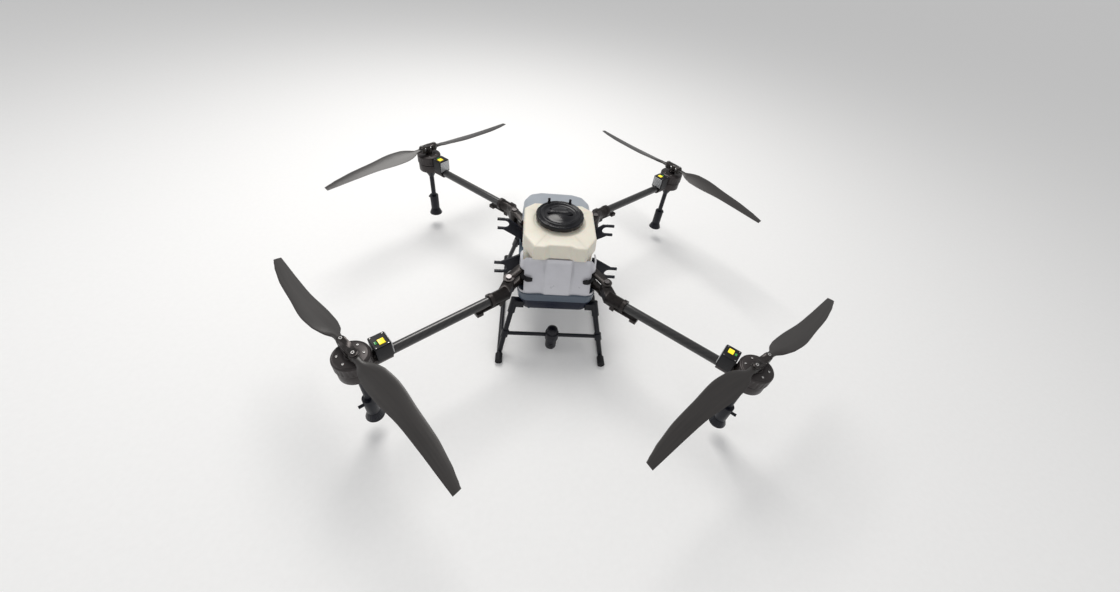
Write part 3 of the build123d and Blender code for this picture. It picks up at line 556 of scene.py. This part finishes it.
def tank_cap():
    """Glossy screw cap: scalloped rim, stepped rings, a dome and a hand grip across it."""
    base, high = cap_low[2], 279 * MM

    def scallop(turn, radius, height):
        """Shallow finger hollows round the skirt."""
        hollow = max(0.0, cos(12 * turn)) ** 4
        return -1.6 * MM * hollow if radius > 78 * MM else 0.0

    profile = [(72, 0), (80.5, 0), (81.8, 1.2), (82, 3), (82, 12), (81.3, 15), (79.5, 17), (77, 17.6),
            (74.5, 17),
               (73, 15.4), (71.5, 15), (69, 15.2), (67.5, 17), (66, 19.6), (64, 20.4), (61,
                       20.2), (58.5, 18.2),
               (56, 16), (52, 15.4), (46, 15.8), (41, 17.6), (34, 20), (24, 21.8), (12, 22.8), (0.6, 23)]
    mesh = lathe("tank_cap_body", [(r * MM, base + h * MM) for r, h in profile], (0, 0, 0), steps=144,
            ripple=scallop)
    top = piece("tank_cap_body", mesh, "cap", MATS["cap_plastic"], 45)
    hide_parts("tank_cap")
    rows = []
    for level in range(15):
        share = level / 14
        reach = -44 * MM + 88 * MM * share
        swell = max(0.05, 1 - abs(2 * share - 1) ** 5) ** 0.5
        ring = []
        for step in range(20):
            turn = 2 * pi * step / 20
            across = 10.5 * MM * swell * cos(turn)
            lift = 12 * MM * swell * max(-0.4, sin(turn)) * (1 - 0.25 * sin(pi * share))
            ring.append((reach, across, high + 2 * MM + lift))
        rows.append(ring)
    piece("cap_grip", grid_mesh("cap_grip", rows), "cap", MATS["cap_plastic"], 50)
    for heading in (62, 118):
        x, y = 78 * MM * cos(radians(heading)), 78 * MM * sin(radians(heading))
        peg = [(6, -2), (6, 1), (4.6, 2.4), (4.2, 9), (5, 10.4), (5, 12.6), (4, 14), (0.2, 14)]
        mesh = lathe("cap_peg", [(r * MM, high + h * MM) for r, h in peg], (x, y, 0), steps=24)
        piece(f"cap_peg_{heading}", mesh, "cap", MATS["cap_plastic"])


def rear_cowl():
    """Rounded rear cover over the battery, open at the back where the battery slides in."""
    rows, inner_rows = [], []
    top = rear_high[2]
    start = rear_low[1]
    plan = [(0.0, 0.0, DECK), (0.3, 0.0, DECK + 40 * MM), (1.0, 0.0, top - 18 * MM)]
    rings = [(share, inset, height) for share, inset, height in plan]
    for step in range(1, 6):
        turn = pi / 2 * step / 5
        rings.append((1.0, 18 * MM * (1 - cos(turn)), top - 18 * MM + 18 * MM * sin(turn)))
    for share, inset, height in rings:
        half = BODY_HALF - 10 * MM * share
        rear = rear_high[1] - 12 * MM * share
        corners = [(-half, start), (half, start), (half, rear - 58 * MM), (half - 22 * MM,
                rear - 16 * MM), (half - 64 * MM, rear),
                   (-half + 64 * MM, rear), (-half + 22 * MM, rear - 16 * MM), (-half, rear - 58 * MM)]
        outline = rounded_outline(corners, 30 * MM, spacing=5 * MM)
        ring = inset_outline(outline, inset)
        ring = [Vector((p.x, max(p.y, start))) for p in ring]
        rows.append(lifted(ring, height))
        within = inset_outline(ring, WALL)
        inner_rows.append(lifted(within, min(height, top - WALL)))
    mesh = grid_mesh("rear_cowl_shell", list(reversed(inner_rows)) + rows)
    bay = 84 * MM
    boxes = [((-0.2, start - 0.01, 0), (0.2, start + 1 * MM, 0.4)), ((-0.3, 0, 0), (0.3, 0.3,
            DECK + 0.1 * MM)),
             ((-bay, 0.18, 0.05), (bay, 0.3, DECK + 103 * MM))]
    for side in (-1, 1):
        near, far = sorted((side * 112 * MM, side * 200 * MM))
        boxes.append(((near, 0.0, NOTCH[0]), (far, 0.186, NOTCH[1])))
    mesh = edge_softened(cut_boxes(mesh, boxes), 0.8 * MM, angle=55)
    shell = piece("rear_cowl_shell", mesh, "airframe", MATS["rear_cowl_plastic"], 40)
    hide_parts("rear_cowl")


# ------------------------------------------------------------------ blades
def smooth_station(stations, along):
    """Catmull-Rom value of every column of a station list at one distance."""
    last = len(stations) - 2
    index = max(i for i in range(last + 1) if stations[i][0] <= along or i == 0)
    p0, p1 = stations[max(0, index - 1)], stations[index]
    p2, p3 = stations[index + 1], stations[min(last + 1, index + 2)]
    t = (along - p1[0]) / (p2[0] - p1[0])
    values = []
    for a, b, c, d in zip(p0[1:], p1[1:], p2[1:], p3[1:]):
        values.append(0.5 * (2 * b + (c - a) * t + (2 * a - 5 * b + 4 * c - d) * t * t + (3 * b - a - 3 * c + d) * t ** 3))
    return values


# Distance from the pivot; leading and trailing edge; thickness (mm); pitch (degrees)
BLADE = [(9, 10, -10, 12, 0), (30, 10.8, -10.8, 11, 4), (46, 21.5, -19.5, 9.5, 10), (62, 29, -24, 8.5, 14.5),
         (84, 36.5, -28, 7.8, 16), (140, 41, -27.5, 6.8, 14.6), (220, 33, -21, 5.4, 12), (310, 24.5,
                 -21.5, 4.2, 9.6),
         (380, 11, -23.6, 3.2, 8.2), (414, 1, -24.6, 2.3, 7.2), (427, -3.5, -25, 1.8, 7)]
DROOP = radians(2.2)


def blade(corner, letter, spin):
    """One blade: cambered sections lofted from the root eye to the clipped tip."""
    joint = JOINTS[f"{corner}_blade_{letter}_fold"]
    pivot = Vector(joint["pos_m"])
    hub = Vector(JOINTS[f"{corner}_rotor_spin"]["pos_m"])
    outward = Vector((pivot.x - hub.x, pivot.y - hub.y, 0)).normalized()
    across = Vector((-outward.y, outward.x, 0)) * spin
    rows = []
    stations = 56
    for level in range(stations + 1):
        share = (level / stations)
        along = BLADE[0][0] + (BLADE[-1][0] - BLADE[0][0]) * share
        lead, trail, thick, pitch = smooth_station(BLADE, along)
        chord = lead - trail
        square = 1 - bump_step(along, 12, 34)
        ring = []
        sides = 28
        for step in range(sides):
            turn = 2 * pi * step / sides
            depth = (1 - cos(turn)) / 2
            foil = 5 * (0.2969 * depth ** 0.5 - 0.126 * depth - 0.3516 * depth ** 2 + 0.2843 * depth ** 3 - 0.0985 * depth ** 4)
            oval = 0.5 * min(1.0, (4 * depth * (1 - depth)) ** 0.35)
            foil = min(foil, 0.96 * (depth * (1 - depth)) ** 0.5)
            half = (foil * (1 - square) + oval * square) * thick + 0.08
            height = half if turn < pi else -half
            flat = lead - chord * depth
            tilt = radians(pitch)
            middle = (lead + trail) / 2
            y = middle + (flat - middle) * cos(tilt) - height * sin(tilt)
            z = (flat - middle) * sin(tilt) + height * cos(tilt) - along * tan(DROOP)
            ring.append(pivot + outward * along * MM + across * y * MM + Vector((0, 0, z * MM)))
        rows.append(ring)
    name = f"{corner}_blade_{letter}"
    shown = piece(name + "_foil", grid_mesh(name, rows), name, MATS["blade_composite"], 50)
    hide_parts(name)
    eye = [(4.1, -8), (11.6, -8), (12.5, -7), (12.5, 7), (11.6, 8), (4.1, 8)]
    mesh = lathe(name + "_eye", [(r * MM, h * MM) for r, h in eye], pivot, steps=48)
    piece(name + "_eye", mesh, name, MATS["blade_composite"])


# ------------------------------------------------------------------ arms, motors and pod
def slab(name, low, high, place, width=0.8 * MM):
    """Box between two corners of a local frame, with its edges rounded."""
    mesh = bpy.data.meshes.new(name)
    bm = bmesh.new()
    bmesh.ops.create_cube(bm, size=1)
    for vert in bm.verts:
        vert.co = place @ Vector([a + (b - a) * (c + 0.5) for a, b, c in zip(low, high, vert.co)])
    bmesh.ops.bevel(bm, geom=list(bm.edges), offset=width, segments=3, affect="EDGES",
            clamp_overlap=True, profile=0.6)
    bmesh.ops.recalc_face_normals(bm, faces=bm.faces)
    bm.to_mesh(mesh)
    bm.free()
    return mesh


def socket_screw(name, spot, body, radius=3 * MM, tall=2.4 * MM, axis=(0, 0, 1), steps=28):
    """Bright cap screw with a hollow in its head, standing on a surface."""
    profile = [(radius, 0), (radius, 0.75 * tall), (0.86 * radius, tall), (0.5 * radius, tall),
            (0.46 * radius, 0.35 * tall),
               (0.02 * radius, 0.3 * tall)]
    piece(name, lathe(name, profile, spot, axis, steps=steps), body, SCREW)


def arm_place(corner):
    """Matrix of an arm's own frame: X outward along the tube, Z up, origin under the motor."""
    side, end = CORNERS[corner]
    hub = Vector(JOINTS[f"{corner}_rotor_spin"]["pos_m"])
    outward = Vector((side * cos(HEADING), end * sin(HEADING), 0))
    across = Vector((0, 0, 1)).cross(outward)
    turn = Matrix((outward, across, (0, 0, 1))).transposed().to_4x4()
    return Matrix.Translation((hub.x, hub.y, ARM_Z)) @ turn


HEADING = radians(38.8)
ARM_Z = Vector(JOINTS["front_left_arm_fold"]["pos_m"]).z
HINGE = Vector(JOINTS["front_right_arm_fold"]["pos_m"])
MOTOR = Vector(JOINTS["front_right_rotor_spin"]["pos_m"])
REACH = (MOTOR.x - HINGE.x) * cos(HEADING) + (HINGE.y - MOTOR.y) * sin(HEADING)


def arm_tube(corner):
    """Hollow carbon tube with its weave running round it."""
    place = arm_place(corner)
    start, run = 45 * MM - REACH, REACH - 87.5 * MM
    outward = (place.to_3x3() @ Vector((1, 0, 0)))
    origin = place @ Vector((start, 0, 0))
    profile = [(13.5 * MM, 0), (15 * MM, 0)]
    profile += [(15 * MM, run * step / 8) for step in range(1, 9)] + [(13.5 * MM, run), (13.5 * MM, 0)]
    mesh = lathe(corner + "_tube", profile, origin, outward, steps=64)
    shown = piece(f"{corner}_tube_shell", mesh, f"{corner}_arm", MATS["carbon_tube"])
    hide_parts(f"{corner}_arm_tube")


def speed_controller_trim(corner):
    """Lamp window, bright cooling plate and lid screws on a speed controller."""
    place, body = arm_place(corner), f"{corner}_arm"
    lid = 54 * MM
    piece(f"{corner}_lid", slab("lid", (-95 * MM, -23 * MM, lid - 1 * MM), (-54 * MM, 23 * MM,
            lid + 1.2 * MM), place), body,
          MATS["controller_plastic"])
    piece(f"{corner}_lamp", slab("lamp", (-86 * MM, -4 * MM, lid), (-70 * MM, 14 * MM, lid + 2.2 * MM),
            place), body, LAMP)
    piece(f"{corner}_green_lamp", slab("green", (-66 * MM, -2 * MM, lid), (-60 * MM, 8 * MM,
            lid + 1.8 * MM), place), body,
          GREEN_LAMP)
    for level in range(7):
        low = (13 + 6 * level) * MM
        piece(f"{corner}_fin_{level}", slab("fin", (-98.6 * MM, -22 * MM, low), (-96 * MM, 22 * MM,
                low + 3.4 * MM), place), body,
              SILVER)
    for along in (-91, -58):
        for across in (-19.5, 19.5):
            spot = place @ Vector((along * MM, across * MM, lid + 1.2 * MM))
            socket_screw(f"{corner}_lid_screw_{along + 91}_{int(across + 20)}", spot, body, 1.7 * MM,
                    0.9 * MM, steps=18)


def motor_bell(corner):
    """Motor can: stepped lid, cooling grooves round its side and two cap screws."""
    hub = Vector(JOINTS[f"{corner}_rotor_spin"]["pos_m"])
    body = BODY_OF[f"{corner}_motor_bell"]

    def grooves(turn, radius, height):
        """Shallow upright grooves in the can's side."""
        inside = 48 * MM < radius and 151 * MM < height < 173 * MM
        return -1.1 * MM * max(0.0, min(1.0, 3 * sin(24 * turn))) if inside else 0.0

    profile = [(6, 177), (45.3, 177), (45.3, 145.2), (46.6, 145), (48.2, 146.2), (48.5, 148), (48.5,
            150), (48.5, 152),
               (48.5, 172), (48.5, 174), (48.1, 176.6), (46.8, 178.6), (44.6, 179.6), (43.6,
                       178.9), (42.4, 178.9),
               (41.6, 179.8), (40, 180.4), (24, 180.9), (20, 181), (17, 180.4), (15.5, 180.4), (14.6,
                       181), (5.2, 181),
               (5.2, 177)]
    mesh = lathe(f"{corner}_bell", [(r * MM, h * MM) for r, h in profile], (hub.x, hub.y, 0), steps=144,
            ripple=grooves)
    shown = piece(f"{corner}_bell_shell", mesh, body, MATS["motor_metal"], 36)
    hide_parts(f"{corner}_motor_bell")
    pivot = Vector(JOINTS[f"{corner}_blade_a_fold"]["pos_m"])
    along = Vector((pivot.x - hub.x, pivot.y - hub.y, 0)).normalized()
    across = Vector((-along.y, along.x, 0))
    for number, turn in enumerate((60, 120, 240, 300)):
        spot = Vector((hub.x, hub.y,
                180.4 * MM)) + (along * cos(radians(turn)) + across * sin(radians(turn))) * 32 * MM
        socket_screw(f"{corner}_bell_screw_{number}", spot, body, 3.2 * MM, 2.2 * MM)
    for letter, sign in (("a", 1), ("b", -1)):
        spot = Vector((hub.x, hub.y, 217.4 * MM)) + along * (sign * 30 * MM)
        socket_screw(f"{corner}_pivot_screw_{letter}", spot, body, 5 * MM, 3.4 * MM)


def radar_pod():
    """Round radar pod: rounded body, clamp collar and a lens on its front."""
    low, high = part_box("radar_pod")
    x, y = (low[0] + high[0]) / 2, high[1] - 24.5 * MM
    profile = [(0.3, -165), (9, -164.7), (14.5, -163), (18.5, -159.6), (20.2, -155), (20.5, -150),
            (20.5, -117.5),
               (19.3, -116.4), (19.3, -114.6), (20.5, -113.5), (22.6, -113.2), (24.1, -112), (24.5,
                       -110), (24.5, -84),
               (24.1, -81.6), (22.6, -80.2), (20.7, -80), (20.2, -78), (20.2, -70), (19, -64.6), (16,
                       -61.4), (11, -60.2),
               (10, -61), (4, -61), (0.3, -61)]
    mesh = lathe("radar_body", [(r * MM, h * MM) for r, h in profile], (x, y, 0), steps=96)
    shown = piece("radar_body", mesh, "airframe", MATS["pod_plastic"], 36)
    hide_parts("radar_pod")
    lens = [(8, -1), (8, 1.4), (7.2, 2), (6.2, 1.4), (5.4, 0.4), (3, 1.0), (0.2, 1.3)]
    piece("radar_lens", lathe("radar_lens", [(r * MM, h * MM) for r, h in lens], (x, y - 20.2 * MM,
            -138 * MM), (0, -1, 0),
                              steps=40), "airframe", MATS["cap_plastic"])


# ------------------------------------------------------------------ camera
camera_data = bpy.data.cameras.new("camera")
camera = bpy.data.objects.new("camera", camera_data)
bpy.context.collection.objects.link(camera)
PITCH, YAW, ROLL = radians(45.11), radians(7.94), radians(8.38)
forward = Vector((sin(YAW) * cos(PITCH), cos(YAW) * cos(PITCH), -sin(PITCH)))
level = Vector((cos(YAW), -sin(YAW), 0))
rise = level.cross(forward)
right = level * cos(ROLL) + rise * sin(ROLL)
upward = rise * cos(ROLL) - level * sin(ROLL)
turned = Matrix((right, upward, -forward)).transposed().to_4x4()
camera.matrix_world = Matrix.Translation((-0.1253, -1.1837, 1.0850)) @ turned
camera_data.sensor_width = 36.0
camera_data.lens = 13.44
camera_data.clip_start = 0.02
bpy.context.scene.camera = camera

# ------------------------------------------------------------------ floor and light
floor_mesh = bpy.data.meshes.new("floor")
FLOOR_Z = cad_bounds[0][2]
floor_mesh.from_pydata([(-30, -30, FLOOR_Z), (30, -30, FLOOR_Z), (30, 30, FLOOR_Z), (-30, 30, FLOOR_Z)],
        [], [(0, 1, 2, 3)])
floor = bpy.data.objects.new("floor", floor_mesh)
bpy.context.collection.objects.link(floor)
floor_mesh.materials.append(finish_material("floor", (0.93, 0.93, 0.93), 0.9, spread=0.01, bump=0.0,
        specular=0.1))


def area_light(name, place, aim, size, power, tint=(1, 1, 1)):
    """Soft square light that points at a place."""
    data = bpy.data.lights.new(name, "AREA")
    data.shape = "SQUARE"
    data.size = size
    data.energy = power
    data.color = tint
    lamp = bpy.data.objects.new(name, data)
    bpy.context.collection.objects.link(lamp)
    lamp.location = place
    lamp.rotation_euler = (Vector(aim) - Vector(place)).to_track_quat("-Z", "Y").to_euler()


area_light("key", (-0.5, 1.5, 2.9), (0, 0, 0), 1.6, 62, (1.0, 0.98, 0.95))
area_light("fill_front", (0.9, -3.2, 2.2), (0, 0, 0.05), 2.2, 9)
area_light("fill_left", (-3.2, -0.6, 1.8), (0, 0, 0), 1.6, 8)
world = bpy.data.worlds.new("world")
bpy.context.scene.world = world
world.use_nodes = True
world.node_tree.nodes["Background"].inputs["Color"].default_value = (1, 1, 1, 1)
world.node_tree.nodes["Background"].inputs["Strength"].default_value = 0.55
bpy.context.scene.view_settings.view_transform = "Standard"

# ------------------------------------------------------------------ body, tank and arms
front_cowl()
rear_cowl()
tank_shell()
tank_cap()
radar_pod()
for side in (-1, 1):
    cowl_latch(side)
for name in ("frame_tray", "frame_rim", "battery", "hinge_brackets", "hinge_pins", "arm_clips",
             "foot_sleeves", "pump", "cap_seal", "strainer", "landing_gear"):
    softened(name, 0.0015)
for corner, (side, end) in CORNERS.items():
    for suffix in ("arm_knuckle", "motor_mount", "speed_controller", "lock_lever", "nozzle",
            "spray_disc", "prop_hub"):
        softened(f"{corner}_{suffix}", 0.0008)
    arm_tube(corner)
    speed_controller_trim(corner)
    motor_bell(corner)
    for letter in "ab":
        blade(corner, letter, side * end)
